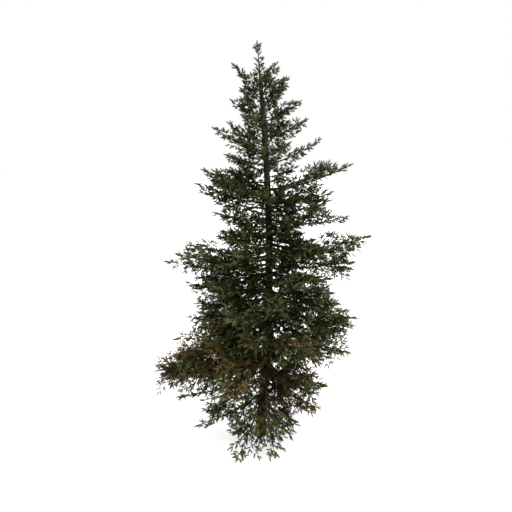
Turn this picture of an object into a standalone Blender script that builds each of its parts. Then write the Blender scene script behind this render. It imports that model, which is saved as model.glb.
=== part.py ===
"""A young spruce: one tapering trunk, its main boughs and the masses of needles that they carry.

Metres, +Z up. The origin is the middle of the trunk's flat cut at ground level. +X is to the
right and -Y to the front. A bearing is an angle in plan: 0 along +X, 90 along +Y.
Every size below is a driving dimension; limbs, stems and sprays are worked out from them.
"""

import math
import random

import bmesh
import bpy
import numpy as np
from mathutils import Vector
from mathutils.bvhtree import BVHTree

# The whole tree
TREE_HEIGHT = 8.0
GROUND_CLEARANCE = 0.03  # no spray hangs lower than this
TOUCHING_GAP = 0.0003  # between two nodes that meet
SEED = 20
UP = Vector((0, 0, 1))

# Trunk
TRUNK_TOP = 7.25  # the leader's mass of shoots takes over here
TRUNK_BASE_RADIUS = 0.098
TRUNK_TAPER_POWER = 0.40  # under 1, so the trunk keeps its thickness low down
TRUNK_BOW = 0.21  # how far the middle bows to +X
TRUNK_LEAN = -0.066  # how far the tip stands off to +X
TRUNK_BACK_BOW = 0.05
TRUNK_SIDES = 12
TRUNK_RINGS = 19
TRUNK_RING_CROWDING = 1.35  # over 1, so the rings stand closer in the flare
FLARE_HEIGHT = 0.16
FLARE_SHARE = 0.30  # extra radius at the ground
ROOT_LOBES = 5
ROOT_LOBE_SHARE = 0.10

# Boughs: how they rise and sag. The rise is the slope of the straight line from root to tip.
RISE_AT_GROUND = -34.0  # degrees
RISE_PER_HEIGHT = 68.0  # degrees more from there to the top, evenly
RISE_NEAR_TOP = 45.0  # and degrees more that come mostly near the top
BOUGH_SAG_SHARE = 0.07  # how far a bough dips under that line, as a share of its reach
BOUGH_RADIUS_PER_REACH = 0.010
BOUGH_RADIUS_LEAST = 0.007
BOUGH_TIP_RADIUS = 0.004
LIMB_SIDES = 6
MAIN_BOUGH_REACH = 1.85  # boughs that reach this far have a bare limb of their own
LIMB_SHARE = 0.24  # the share of a main bough that is bare limb
LIMB_SEGMENTS = 3

# Each whorl: its height on the trunk, then its boughs. Each bough has its bearing in degrees, its
# reach, and how far it rises over the rule for its height, in degrees.
WHORLS = (
    (0.94, (196, 1.50, 5), (250, 1.62, 0), (279, 1.50, 0), (25, 1.30, 0), (95, 1.45, 0)),
    (1.45, (168, 1.98, 0), (272, 1.62, 0), (344, 1.36, 12), (72, 1.65, 0)),
    (2.05, (176, 2.40, 0), (238, 1.75, 0), (42, 1.75, 0), (118, 1.80, 0)),
    (2.60, (200, 2.02, 4), (300, 1.75, 0), (331, 1.86, -3), (68, 1.80, 0)),
    (3.14, (165, 1.80, 9), (243, 1.68, 0), (346, 1.86, -7), (100, 1.66, 0)),
    (3.70, (176, 2.16, 2), (310, 1.60, 0), (34, 1.80, -4)),
    (4.10, (6, 2.12, 0), (138, 1.45, 0), (244, 1.45, 0)),
    (4.62, (322, 1.86, -2), (200, 1.18, 0), (86, 1.40, 0)),
    (4.95, (172, 1.50, 0), (350, 1.31, -3), (262, 1.25, 0)),
    (5.22, (6, 1.70, -2), (118, 1.15, 0)),
    (5.70, (200, 0.87, -11), (345, 1.08, 0), (272, 0.96, 0)),
    (5.96, (178, 1.04, -6), (78, 0.92, 0)),
    (6.22, (8, 0.86, -12), (262, 0.76, 0)),
    (6.52, (345, 0.74, -12), (165, 0.68, -8), (75, 0.64, 0)),
    (6.93, (185, 0.58, 0), (15, 0.55, -11), (285, 0.46, 0)),
)

# Masses: one stem each, with a spray of needles at every twig
STEM_SIDES = 3
STEM_SEGMENTS = 4
STEM_PAST_LAST_SPRAY = 0.06
SPRAY_SPACING = 0.16  # along the stem, from one spray to the next
SPRAYS_LEAST = 6
SPRAYS_MOST = 8
SPRAY_LENGTH_PER_REACH = 0.54
SPRAY_LENGTH_LEAST = 0.36
SPRAY_LENGTH_MOST = 0.98
SPRAY_TIP_SHARE = 0.55  # length of the outermost sprays, as a share of the innermost
LAST_SPRAY_SHARE = 0.42  # and of the one that carries on from the stem's end
SPRAY_WIDTH_SHARE = 0.86
SPRAY_THICKNESS_SHARE = 0.055
SPRAY_RIDGE_AT = 0.26
# Half a spray's outline, a tooth and then a notch each time: (along, aside), as shares of its
# length and width. The teeth are its side shoots, and point forward.
SHORT_SPRAY = ((0.54, 0.46), (0.40, 0.09), (0.84, 0.32), (0.68, 0.06))
LONG_SPRAY = ((0.42, 0.46), (0.34, 0.09), (0.66, 0.38), (0.54, 0.09), (0.88, 0.20), (0.78, 0.05))
LONG_FROM = 0.62  # sprays this long have the longer outline
SPRAY_ANGLE = 47.0  # between a spray and its stem, in degrees
SPRAY_ROWS = (-10.0, -52.0, 38.0)  # degrees above level; sprays left and right take them in turn
# How much further sprays hang than that, in degrees, by height; high up they stand up instead
SPRAY_HANG = ((0.0, 14.0), (3.0, 2.0), (4.2, -14.0), (8.0, -14.0))
SPRAY_ROOT_WIDTH = 0.011
ROOM_ROUND_SPRAY = 1.05  # a spray grown this much must touch no other node
SPRAY_DROOP = 0.04  # how far a spray's tip bends down, as a share of its length
BARE_STEM_SHARE = 0.10  # of a bough with no limb of its own, next to the trunk

# The leader, above the trunk's top
LEADER_RADIUS = 0.026
LEADER_STEM_TOP = 7.90
LEADER_SEGMENTS = 3
LEADER_TIERS = ((7.34, 0.42, 3), (7.56, 0.28, 3), (7.76, 0.19, 2))  # height, spray length, count
LEADER_SPRAY_LIFT = (48.0, 60.0)  # degrees above level
TOP_SPRAY_LENGTH = 0.16

# Colours
BARK_BROWN = (0.055, 0.045, 0.033)
LIMB_BROWN = (0.060, 0.045, 0.032)
NEEDLE_GREEN = (0.028, 0.042, 0.016)
FADED_OLIVE = (0.060, 0.045, 0.014)
FADED_BELOW = 1.9  # masses on boughs that leave the trunk lower than this are fading to olive brown


def clear_scene():
    for old in list(bpy.data.objects):
        bpy.data.objects.remove(old)


def material(name, colour, roughness):
    made = bpy.data.materials.new(name)
    made.use_nodes = True
    surface = made.node_tree.nodes["Principled BSDF"]
    surface.inputs["Base Color"].default_value = (*colour, 1.0)
    surface.inputs["Roughness"].default_value = roughness
    surface.inputs["Metallic"].default_value = 0.0
    return made


def out(bearing):
    """The level unit vector on a bearing, in radians."""
    return Vector((math.cos(bearing), math.sin(bearing), 0))


def mesh_object(name, mesh, finish=None):
    if finish:
        mesh.materials.append(finish)
    made = bpy.data.objects.new(name, mesh)
    bpy.context.scene.collection.objects.link(made)
    return made


def tube(name, rings, finish=None):
    """A closed tube: rings of points in turn, bridged, with a flat cap at each end."""
    form = bmesh.new()
    loops = []
    for ring in rings:
        corners = [form.verts.new(point) for point in ring]
        loops.append([form.edges.new((corners[side - 1], corners[side])) for side in range(len(ring))])
    for lower, upper in zip(loops, loops[1:]):
        bmesh.ops.bridge_loops(form, edges=lower + upper)
    bmesh.ops.holes_fill(form, edges=loops[0] + loops[-1])
    bmesh.ops.recalc_face_normals(form, faces=form.faces)
    mesh = bpy.data.meshes.new(name)
    form.to_mesh(mesh)
    form.free()
    return mesh_object(name, mesh, finish)


def smooth_round(made):
    made.data.shade_smooth()
    made.data.set_sharp_from_angle(angle=math.radians(40))


def apply_modifiers(made):
    graph = bpy.context.evaluated_depsgraph_get()
    applied = bpy.data.meshes.new_from_object(made.evaluated_get(graph))
    old = made.data
    made.modifiers.clear()
    made.data = applied
    bpy.data.meshes.remove(old)


# --- The trunk ---------------------------------------------------------------------------------


def trunk_centre(height):
    share = height / TREE_HEIGHT
    return Vector(
        (
            TRUNK_BOW * math.sin(math.pi * share) + TRUNK_LEAN * share,
            TRUNK_BACK_BOW * math.sin(2 * math.pi * share),
            height,
        )
    )


def trunk_radius(height, bearing=None):
    """The radius at a height; with a bearing, the root lobes are added."""
    plain = TRUNK_BASE_RADIUS * (1 - height / TREE_HEIGHT) ** TRUNK_TAPER_POWER
    flare = math.exp(-height / FLARE_HEIGHT)
    lobe = ROOT_LOBE_SHARE * math.cos(ROOT_LOBES * bearing) if bearing is not None else 0.0
    return plain * (1 + (FLARE_SHARE + lobe) * flare)


def trunk_rings(grown_by=0.0):
    """Rings of points up the trunk, closer together in the flare."""
    rings = []
    for ring in range(TRUNK_RINGS + 1):
        height = TRUNK_TOP * (ring / TRUNK_RINGS) ** TRUNK_RING_CROWDING
        angles = [math.tau * side / TRUNK_SIDES for side in range(TRUNK_SIDES)]
        radii = [trunk_radius(height, angle) + grown_by for angle in angles]
        rings.append([trunk_centre(height) + radius * out(angle) for angle, radius in zip(angles, radii)])
    return rings


def build_trunk(finish):
    trunk = tube("trunk", trunk_rings(), finish)
    smooth_round(trunk)
    gauge = tube("trunk_gauge", trunk_rings(grown_by=TOUCHING_GAP))
    gauge.hide_render = True
    gauge.display_type = "WIRE"
    return trunk, gauge


# --- Boughs ------------------------------------------------------------------------------------


class Bough:
    """One bough's course: it leaves the trunk at a height, on a bearing, and reaches out."""

    def __init__(self, name, height, bearing, reach, lift):
        self.name = name
        self.height = height
        self.bearing = math.radians(bearing)
        self.reach = reach
        share = height / TREE_HEIGHT
        rise = RISE_AT_GROUND + RISE_PER_HEIGHT * share + RISE_NEAR_TOP * share**4
        self.slope = math.tan(math.radians(rise + lift))
        self.radius = BOUGH_RADIUS_LEAST + BOUGH_RADIUS_PER_REACH * reach
        self.has_limb = reach >= MAIN_BOUGH_REACH
        self.mass_start = LIMB_SHARE if self.has_limb else 0.0
        self.spray_length = SPRAY_LENGTH_PER_REACH * reach
        self.spray_length = min(max(self.spray_length, SPRAY_LENGTH_LEAST), SPRAY_LENGTH_MOST)
        self.last_spray = 1 - self.spray_length * LAST_SPRAY_SHARE / reach

    def point(self, share):
        """The middle of the bough, at a share of its reach."""
        level = self.reach * share
        sag = 4 * BOUGH_SAG_SHARE * level * (1 - share)
        return trunk_centre(self.height) + level * out(self.bearing) + UP * (self.slope * level - sag)

    def along(self, share):
        step = 0.01
        return (self.point(share + step) - self.point(share - step)).normalized()

    def aside(self):
        """Level, and square to the bough: to its left as seen from the trunk."""
        return out(self.bearing + math.pi / 2)

    def thickness(self, share):
        return self.radius + (BOUGH_TIP_RADIUS - self.radius) * share

    def ring(self, share, sides, gap):
        """Points round the bough, square to it, a gap further out than that share of it."""
        along = self.along(share)
        above = along.cross(self.aside())
        angles = [math.tau * (side + 0.25) / sides for side in range(sides)]
        return [
            self.point(share)
            + along * gap
            + self.thickness(share) * (math.cos(angle) * self.aside() + math.sin(angle) * above)
            for angle in angles
        ]

    def rings(self, start, end, segments, sides, gap=0.0):
        """Rings from one share of the bough to another; the first one stands a gap further out."""
        shares = [start + (end - start) * ring / segments for ring in range(segments + 1)]
        return [self.ring(share, sides, gap if share == start else 0.0) for share in shares]


def cut_clear(made, gauge):
    """Cuts a limb or stem to the trunk's surface, a gap away from it."""
    cut = made.modifiers.new("clear of the trunk", "BOOLEAN")
    cut.operation = "DIFFERENCE"
    cut.solver = "EXACT"
    cut.object = gauge
    apply_modifiers(made)


def build_limb(bough, gauge, finish):
    limb = tube("limb_" + bough.name, bough.rings(0.0, bough.mass_start, LIMB_SEGMENTS, LIMB_SIDES), finish)
    cut_clear(limb, gauge)
    smooth_round(limb)
    return limb


# --- Sprays of needles -------------------------------------------------------------------------


def spray_blade(root, along, across, length, droop=0.0):
    """A toothed blade: its rim in one bent sheet, with one ridge point above and one below."""
    normal = along.cross(across).normalized()

    def place(forward, sideways, lift=0.0):
        bent = UP * (-droop * forward**2)
        return root + length * (forward * along + sideways * across + lift * normal + bent)

    half = [(0, SPRAY_ROOT_WIDTH / 2 / length)]
    for forward, sideways in LONG_SPRAY if length > LONG_FROM else SHORT_SPRAY:
        half.append((forward, sideways * SPRAY_WIDTH_SHARE))
    rim = [place(forward, sideways) for forward, sideways in half]
    rim.append(place(1, 0))
    rim += [place(forward, -sideways) for forward, sideways in reversed(half)]
    ridge = [place(SPRAY_RIDGE_AT, 0, lift * SPRAY_THICKNESS_SHARE / 2) for lift in (1, -1)]
    above, below = len(rim), len(rim) + 1
    faces = []
    for corner in range(len(rim)):
        following = (corner + 1) % len(rim)
        faces += [(corner, above, following), (corner, following, below)]
    return rim + ridge, faces


def sprays_of(bough, draw):
    """A bough's blades, in turn from its root: left and right, and in each row about the stem."""
    hang = float(np.interp(bough.height, *zip(*SPRAY_HANG)))
    first = bough.mass_start + BARE_STEM_SHARE / (2 if bough.has_limb else 1)
    end = bough.last_spray
    count = round((end - first) * bough.reach / SPRAY_SPACING)
    count = min(max(count, SPRAYS_LEAST), SPRAYS_MOST)
    blades = []
    for number in range(count):
        outward = (number + draw.uniform(0.0, 0.4)) / count
        share = first + (end - first) * outward
        along = bough.along(share)
        side = bough.aside() * (1 if number % 2 else -1)
        row = SPRAY_ROWS[number // 2 % len(SPRAY_ROWS)] - hang + draw.uniform(-8, 8)
        row = math.radians(row)
        away = math.cos(row) * side + math.sin(row) * along.cross(bough.aside())
        angle = math.radians(SPRAY_ANGLE + draw.uniform(-6, 6))
        forward = math.cos(angle) * along + math.sin(angle) * away
        across = math.sin(angle) * along - math.cos(angle) * away
        length = bough.spray_length * (1 + (SPRAY_TIP_SHARE - 1) * outward) * draw.uniform(0.9, 1.08)
        blades.append(spray_blade(bough.point(share), forward, across, length, SPRAY_DROOP))
    tip_length = (bough.point(1) - bough.point(end)).length
    blades.append(spray_blade(bough.point(end), bough.along(end), bough.aside(), tip_length))
    return blades


# --- Masses ------------------------------------------------------------------------------------


def box(points):
    """The lowest and highest corner round some points."""
    return [Vector([pick(p[axis] for p in points) for axis in range(3)]) for pick in (min, max)]


class Space:
    """What is already taken, so that a spray that would touch another node is skipped."""

    def __init__(self):
        self.taken = []

    def take(self, owner, points, faces):
        self.taken.append((owner, box(points), BVHTree.FromPolygons(points, faces)))

    def take_object(self, owner, made):
        points = [vertex.co.copy() for vertex in made.data.vertices]
        self.take(owner, points, [tuple(face.vertices) for face in made.data.polygons])

    def is_free(self, owner, points, faces):
        middle = sum(points, Vector()) / len(points)
        grown = [middle + (p - middle) * ROOM_ROUND_SPRAY for p in points]
        low, high = box(grown)
        if low.z < GROUND_CLEARANCE:
            return False
        tree = BVHTree.FromPolygons(grown, faces)
        for other, (other_low, other_high), other_tree in self.taken:
            near = all(low[axis] < other_high[axis] and high[axis] > other_low[axis] for axis in range(3))
            if near and other != owner and tree.overlap(other_tree):
                return False
        return True


def join_sprays(stem, blades):
    """Joins the blades to the stem by one Boolean union on a collection, and applies it."""
    twigs = bpy.data.collections.new("twigs")
    for points, faces in blades:
        mesh = bpy.data.meshes.new("blade")
        mesh.from_pydata(points, [], faces)
        twigs.objects.link(bpy.data.objects.new("blade", mesh))
    union = stem.modifiers.new("sprays", "BOOLEAN")
    union.operation = "UNION"
    union.solver = "MANIFOLD"
    union.operand_type = "COLLECTION"
    union.collection = twigs
    apply_modifiers(stem)
    for blade in list(twigs.objects):
        bpy.data.objects.remove(blade)
    bpy.data.collections.remove(twigs)


def build_stem(bough, gauge, finish):
    """A mass's stem: it starts a gap clear of its limb, or of the trunk where it has no limb."""
    gap = TOUCHING_GAP if bough.has_limb else 0.0
    end = bough.last_spray + STEM_PAST_LAST_SPRAY / bough.reach
    rings = bough.rings(bough.mass_start, end, STEM_SEGMENTS, STEM_SIDES, gap)
    stem = tube("mass_" + bough.name, rings, finish)
    if not bough.has_limb:
        cut_clear(stem, gauge)
    return stem


def build_leader_stem(finish):
    """The stem above the trunk's top, a gap clear of it."""
    start = TRUNK_TOP + TOUCHING_GAP
    rings = []
    for ring in range(LEADER_SEGMENTS + 1):
        share = ring / LEADER_SEGMENTS
        height = start + (LEADER_STEM_TOP - start) * share
        radius = LEADER_RADIUS + (BOUGH_TIP_RADIUS - LEADER_RADIUS) * share
        rings.append([trunk_centre(height) + radius * out(math.tau * side / 4) for side in range(4)])
    return tube("mass_leader", rings, finish)


def sprays_of_leader(draw):
    blades = []
    for tier, (height, length, count) in enumerate(LEADER_TIERS):
        for number in range(count):
            bearing = math.tau * (number + 0.37 * tier) / count + draw.uniform(-0.2, 0.2)
            lift = math.radians(draw.uniform(*LEADER_SPRAY_LIFT))
            along = math.cos(lift) * out(bearing) + math.sin(lift) * UP
            across = out(bearing + math.pi / 2)
            blades.append(spray_blade(trunk_centre(height), along, across, length))
    root = trunk_centre(TREE_HEIGHT - TOP_SPRAY_LENGTH)
    up = (trunk_centre(TREE_HEIGHT) - root).normalized()
    blades.append(spray_blade(root, up, out(0), TOP_SPRAY_LENGTH))
    return blades


def build_masses(boughs, space, gauge, needles, faded):
    """Stems first, so that each mass's sprays keep off every other mass's stem."""
    stems = {"leader": build_leader_stem(needles)}
    for bough in boughs:
        stems[bough.name] = build_stem(bough, gauge, faded if bough.height < FADED_BELOW else needles)
    for owner, stem in stems.items():
        space.take_object(owner, stem)
    wanted = {"leader": sprays_of_leader(random.Random(SEED))}
    for number, bough in enumerate(boughs, start=1):
        wanted[bough.name] = sprays_of(bough, random.Random(SEED + number))
    for owner, blades in wanted.items():
        kept = []
        for blade in blades:
            if space.is_free(owner, *blade):
                kept.append(blade)
                space.take(owner, *blade)
        join_sprays(stems[owner], kept)


def all_boughs():
    """Each bough in turn, named by its whorl's number from the ground and a letter."""
    boughs = []
    for whorl, (height, *courses) in enumerate(WHORLS, start=1):
        for letter, course in zip("abcde", courses):
            boughs.append(Bough(f"{whorl:02d}{letter}", height, *course))
    return boughs


def main():
    clear_scene()
    bark = material("bark", BARK_BROWN, 0.9)
    limb_bark = material("limb_bark", LIMB_BROWN, 0.85)
    needles = material("needles_green", NEEDLE_GREEN, 0.6)
    faded = material("needles_faded", FADED_OLIVE, 0.7)
    trunk, gauge = build_trunk(bark)
    boughs = all_boughs()
    space = Space()
    space.take_object("trunk", trunk)
    for bough in boughs:
        if bough.has_limb:
            space.take_object("limb_" + bough.name, build_limb(bough, gauge, limb_bark))
    build_masses(boughs, space, gauge, needles, faded)


main()
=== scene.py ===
"""The looks of a young spruce: bark, boughs, twigs and needled shoots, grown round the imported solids.

Metres, +Z up, the origin at the middle of the trunk's cut at the ground, -Y to the front.
"""

import copy
import functools
import math
import random

import bmesh
import bpy
import numpy as np
from bpy.props import FloatProperty, FloatVectorProperty, IntProperty, PointerProperty
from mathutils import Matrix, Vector


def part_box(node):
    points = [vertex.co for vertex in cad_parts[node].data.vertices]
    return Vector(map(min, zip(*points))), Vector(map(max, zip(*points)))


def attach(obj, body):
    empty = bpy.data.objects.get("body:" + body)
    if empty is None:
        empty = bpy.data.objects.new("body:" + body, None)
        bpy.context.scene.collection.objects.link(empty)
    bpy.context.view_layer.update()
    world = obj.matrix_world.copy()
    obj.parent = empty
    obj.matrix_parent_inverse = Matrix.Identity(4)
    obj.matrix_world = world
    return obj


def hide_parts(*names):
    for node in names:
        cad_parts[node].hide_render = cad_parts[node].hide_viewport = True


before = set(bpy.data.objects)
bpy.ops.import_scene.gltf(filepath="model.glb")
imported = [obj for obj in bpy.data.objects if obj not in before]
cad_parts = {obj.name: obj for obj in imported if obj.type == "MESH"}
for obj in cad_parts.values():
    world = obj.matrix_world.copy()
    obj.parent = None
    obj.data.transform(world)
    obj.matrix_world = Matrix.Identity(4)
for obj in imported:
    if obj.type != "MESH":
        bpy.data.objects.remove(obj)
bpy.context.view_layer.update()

bl_info = {
    "name": "Young spruce",
    "version": (1, 0, 0),
    "blender": (4, 5, 0),
    "location": "3D View > Sidebar > Spruce",
    "description": "Builds a young spruce from its boughs down to the needles, and a plain stage",
    "category": "Object",
}

BODY = "root"
UP = Vector((0, 0, 1))
SEED = 20
COURSE_STEP = 0.01  # the share over which a course's direction is read
GOLDEN_ANGLE = math.radians(137.5)

# --- Driving sizes, shared with the solids -------------------------------------------------------

TREE_HEIGHT = 8.0
GROUND_CLEARANCE = 0.03
TRUNK_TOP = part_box("trunk")[1].z
TRUNK_BASE_RADIUS = 0.098
TRUNK_TAPER_POWER = 0.40
TRUNK_BOW = 0.21
TRUNK_LEAN = -0.066
TRUNK_BACK_BOW = 0.05
FLARE_HEIGHT = 0.16
FLARE_SHARE = 0.30
ROOT_LOBES = 5
ROOT_LOBE_SHARE = 0.10

RISE_AT_GROUND = -34.0  # degrees
RISE_PER_HEIGHT = 68.0
RISE_NEAR_TOP = 45.0
BOUGH_SAG_SHARE = 0.07
BOUGH_RADIUS_PER_REACH = 0.010
BOUGH_RADIUS_LEAST = 0.007
BOUGH_TIP_RADIUS = 0.004
MAIN_BOUGH_REACH = 1.85
LIMB_SHARE = 0.24

# Each whorl: its height on the trunk, then its boughs. Each bough has its bearing in degrees, its
# reach, and how far it rises over the rule for its height, in degrees.
WHORLS = (
    (0.94, (196, 1.50, 5), (250, 1.62, 0), (279, 1.50, 0), (25, 1.30, 0), (95, 1.45, 0)),
    (1.45, (168, 1.98, 0), (272, 1.62, 0), (344, 1.36, 12), (72, 1.65, 0)),
    (2.05, (176, 2.40, 0), (238, 1.75, 0), (42, 1.75, 0), (118, 1.80, 0)),
    (2.60, (200, 2.02, 4), (300, 1.75, 0), (331, 1.86, -3), (68, 1.80, 0)),
    (3.14, (165, 1.80, 9), (243, 1.68, 0), (346, 1.86, -7), (100, 1.66, 0)),
    (3.70, (176, 2.16, 2), (310, 1.60, 0), (34, 1.80, -4)),
    (4.10, (6, 2.12, 0), (138, 1.45, 0), (244, 1.45, 0)),
    (4.62, (322, 1.86, -2), (200, 1.18, 0), (86, 1.40, 0)),
    (4.95, (172, 1.50, 0), (350, 1.31, -3), (262, 1.25, 0)),
    (5.22, (6, 1.70, -2), (118, 1.15, 0)),
    (5.70, (200, 0.87, -11), (345, 1.08, 0), (272, 0.96, 0)),
    (5.96, (178, 1.04, -6), (78, 0.92, 0)),
    (6.22, (8, 0.86, -12), (262, 0.76, 0)),
    (6.52, (345, 0.74, -12), (165, 0.68, -8), (75, 0.64, 0)),
    (6.93, (185, 0.58, 0), (15, 0.55, -11), (285, 0.46, 0)),
)

SPRAY_LENGTH_PER_REACH = 0.54
SPRAY_LENGTH_LEAST = 0.36
SPRAY_LENGTH_MOST = 0.98
LAST_SPRAY_SHARE = 0.42
SPRAY_ANGLE = 47.0
SPRAY_ROWS = (-10.0, -52.0, 38.0)  # degrees above level, in turn
SPRAY_HANG = ((0.0, 14.0), (3.0, 2.0), (4.2, -14.0), (8.0, -14.0))  # degrees, by height
SPRAY_DROOP = 0.04
BARE_STEM_SHARE = 0.10

LEADER_RADIUS = 0.026
LEADER_STEM_TOP = 7.90
TOP_SPRAY_LENGTH = 0.16

# --- Finer growth, in the scene alone ------------------------------------------------------------

LEADER_TIER = "high"
LEADER_OVERLAP = 0.01  # with the trunk
LEADER_RINGS = 8
# Tufts of short branches round the leader: lowest, highest, how many, how long, and their rise
LEADER_TUFTS = (
    (7.02, 7.34, 9, 0.40, (48, 60)),
    (7.46, 7.70, 11, 0.15, (25, 50)),
    (7.76, 7.91, 9, 0.13, (35, 60)),
)
TOP_SHOOT_PROUD = 0.035  # of the solids' top

# Boughs with a habit of their own, by height and bearing: how much further their side branches
# hang, in degrees, the share of the bough next to the trunk that is bare, how many side branches
# it has and how long they are, both as shares of the usual
BOUGH_HABITS = {
    (0.90, 235): (0, 0, 1.6, 1.0),
    (0.94, 25): (-10, 0, 0.6, 0.7),
    (0.94, 196): (-22, 0, 0.6, 0.7),
    (0.94, 250): (0, 0.12, 0.75, 0.95),
    (0.94, 279): (0, 0.12, 0.75, 0.85),
    (0.95, 300): (0, 0, 1.3, 1.1),
    (1.30, 205): (8, 0, 1.1, 1.1),
    (1.36, 332): (0, 0, 1.1, 0.75),
    (1.45, 168): (-30, 0.25, 0.45, 0.5),
    (1.45, 272): (0, 0.45, 0.8, 0.85),
    (1.96, 175): (-22, 0, 0.8, 0.8),
    (2.05, 176): (-14, 0, 0.9, 1.1),
    (2.25, 180): (0, 0, 1.2, 1.0),
    (2.60, 200): (-40, 0, 0.55, 0.65),
    (2.60, 300): (-10, 0, 0.65, 0.9),
    (2.60, 331): (-7, 0, 0.9, 0.9),
    (2.60, 358): (-4, 0, 1.0, 1.0),
    (2.85, 178): (-5, 0, 1.2, 1.0),
    (2.85, 352): (-10, 0.60, 0.8, 1.0),
    (3.02, 170): (0, 0, 1.2, 1.0),
    (3.14, 165): (-32, 0, 0.95, 1.0),
    (3.14, 243): (0, 0.55, 0.9, 0.8),
    (3.14, 346): (20, 0, 1.1, 1.1),
    (3.32, 344): (13, 0.5, 1.5, 1.1),
    (3.52, 350): (0, 0.5, 0.8, 1.0),
    (3.53, 183): (0, 0.3, 1.3, 1.1),
    (3.70, 34): (-25, 0.5, 0.5, 0.7),
    (3.70, 176): (-45, 0, 0.5, 0.45),
    (3.70, 310): (12, 0.3, 0.8, 0.8),
    (3.80, 176): (-14, 0.6, 0.8, 1.0),
    (3.90, 3): (-5, 0.55, 1.3, 1.0),
    (3.98, 180): (16, 0.45, 0.8, 1.1),
    (4.05, 335): (4, 0.2, 1.4, 1.1),
    (4.10, 6): (14, 0, 1.1, 0.9),
    (4.10, 138): (0, 0, 1.0, 0.9),
    (4.26, 205): (0, 0.5, 1.0, 0.7),
    (4.62, 322): (-38, 0, 0.6, 0.7),
    (4.78, 350): (8, 0.3, 1.4, 1.1),
    (4.84, 173): (0, 0, 0.8, 0.9),
    (4.95, 172): (-15, 0, 0.8, 1.0),
    (4.95, 262): (-20, 0, 0.8, 1.0),
    (4.95, 350): (-12, 0, 0.85, 0.9),
    (5.05, 345): (0, 0.5, 1.0, 1.0),
    (5.15, 188): (8, 0, 1.0, 1.0),
    (5.22, 6): (-50, 0.32, 1.0, 0.85),
    (5.36, 180): (15, 0, 1.3, 0.95),
    (5.70, 200): (0, 0, 0.8, 0.9),
    (5.70, 345): (0, 0, 1.0, 0.75),
    (5.96, 178): (0, 0, 0.85, 0.9),
    (6.22, 262): (0, 0.4, 0.8, 0.8),
    (6.52, 165): (-20, 0, 0.8, 0.8),
    (6.52, 345): (-10, 0, 0.9, 0.9),
    (6.93, 15): (25, 0, 1.3, 1.0),
    (6.93, 185): (-35, 0, 1.0, 0.8),
}

# Lesser boughs fill the crown between the whorls: how many to a metre, by height
LESSER_BOUGHS_PER_METRE = ((1.3, 9), (2.2, 13), (4.1, 13), (5.2, 10), (6.0, 11), (6.9, 9))
FULLER_SIDE = math.pi  # the bearing where they stand closer
FULLER_BY = 0.50
LESSER_REACH_SHARE = 0.72  # of the mean reach of the main boughs nearby
NEARBY_BEARING = 60.0  # how far off a main bough still counts, in degrees
NEARBY_HEIGHT = 0.4  # and in height
# Where they leave gaps: lowest and highest, the bearing at the middle, and how far to each side
LESSER_GAPS = (
    (3.6, 8.0, 270, 38),
    (1.3, 2.1, 270, 30),
    (5.3, 6.3, 0, 50),
    (4.15, 4.8, 0, 50),
    (2.7, 3.4, 252, 22),
    (1.35, 1.8, 195, 40),
    (4.6, 4.95, 185, 55),
    (4.0, 4.2, 126, 20),
    (4.1, 4.2, 188, 30),
    (1.9, 2.1, 339, 15),
    (2.2, 2.3, 56, 10),
    (2.5, 2.65, 9, 10),
)
# Lesser boughs that have a place of their own: height, bearing, reach and, for some, how far they
# rise over the rule, in degrees. The twigs of each are drawn by its number here, so the order stays
PLACED_LESSER_BOUGHS = (
    (0.90, 235, 1.05),
    (0.95, 300, 1.12),
    (1.02, 308, 1.00, 4),
    (1.22, 62, 1.25),
    (1.30, 205, 1.42, 3),
    (1.36, 332, 1.30),
    (1.38, 296, 0.95),
    (1.75, 100, 1.35),
    (1.75, 300, 0.80),
    (1.92, 314, 1.38),
    (1.96, 175, 2.30),
    (2.20, 300, 0.70),
    (2.25, 180, 2.03),
    (2.45, 282, 1.00),
    (2.60, 358, 1.50),
    (2.72, 192, 1.45),
    (2.85, 178, 1.70),
    (2.85, 352, 1.80, -2),
    (2.95, 262, 1.10),
    (3.02, 170, 1.60),
    (3.16, 346, 1.25),
    (3.10, 352, 1.50),
    (3.30, 275, 0.95),
    (3.32, 344, 1.40),
    (3.53, 183, 1.50),
    (3.50, 290, 0.80),
    (3.55, 240, 0.80),
    (3.50, 330, 1.00),
    (3.68, 310, 0.60),
    (3.75, 230, 0.90),
    (3.52, 350, 1.30),
    (3.80, 320, 0.80),
    (3.88, 192, 1.55),
    (3.90, 3, 1.80, -7),
    (3.80, 176, 1.95, 3),
    (3.98, 180, 1.66, 2),
    (4.00, 308, 1.00),
    (4.00, 350, 1.15),
    (4.05, 335, 1.30),
    (4.08, 245, 0.60),
    (4.14, 318, 1.25),
    (4.20, 330, 0.90),
    (4.26, 205, 1.15),
    (4.28, 320, 0.55),
    (4.30, 350, 0.75),
    (4.32, 255, 0.50),
    (4.38, 235, 0.85),
    (4.38, 302, 0.80),
    (4.48, 328, 0.80),
    (4.56, 300, 0.90),
    (4.62, 345, 0.90, -4),
    (4.84, 173, 1.32),
    (4.66, 225, 0.50),
    (4.72, 330, 0.70),
    (4.78, 350, 1.28),
    (4.88, 318, 0.85),
    (4.95, 335, 0.80),
    (5.05, 300, 0.65),
    (5.05, 345, 1.12),
    (5.20, 330, 0.55),
    (5.12, 310, 0.50),
    (5.36, 180, 1.30, -9),
    (5.35, 320, 0.40),
    (5.15, 188, 1.25),
    (5.45, 350, 0.62),
    (5.88, 350, 0.50),
    (6.12, 215, 0.45),
    (6.22, 340, 0.50),
    (6.72, 190, 0.45),
    (7.10, 335, 0.34, 4),
)

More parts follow.
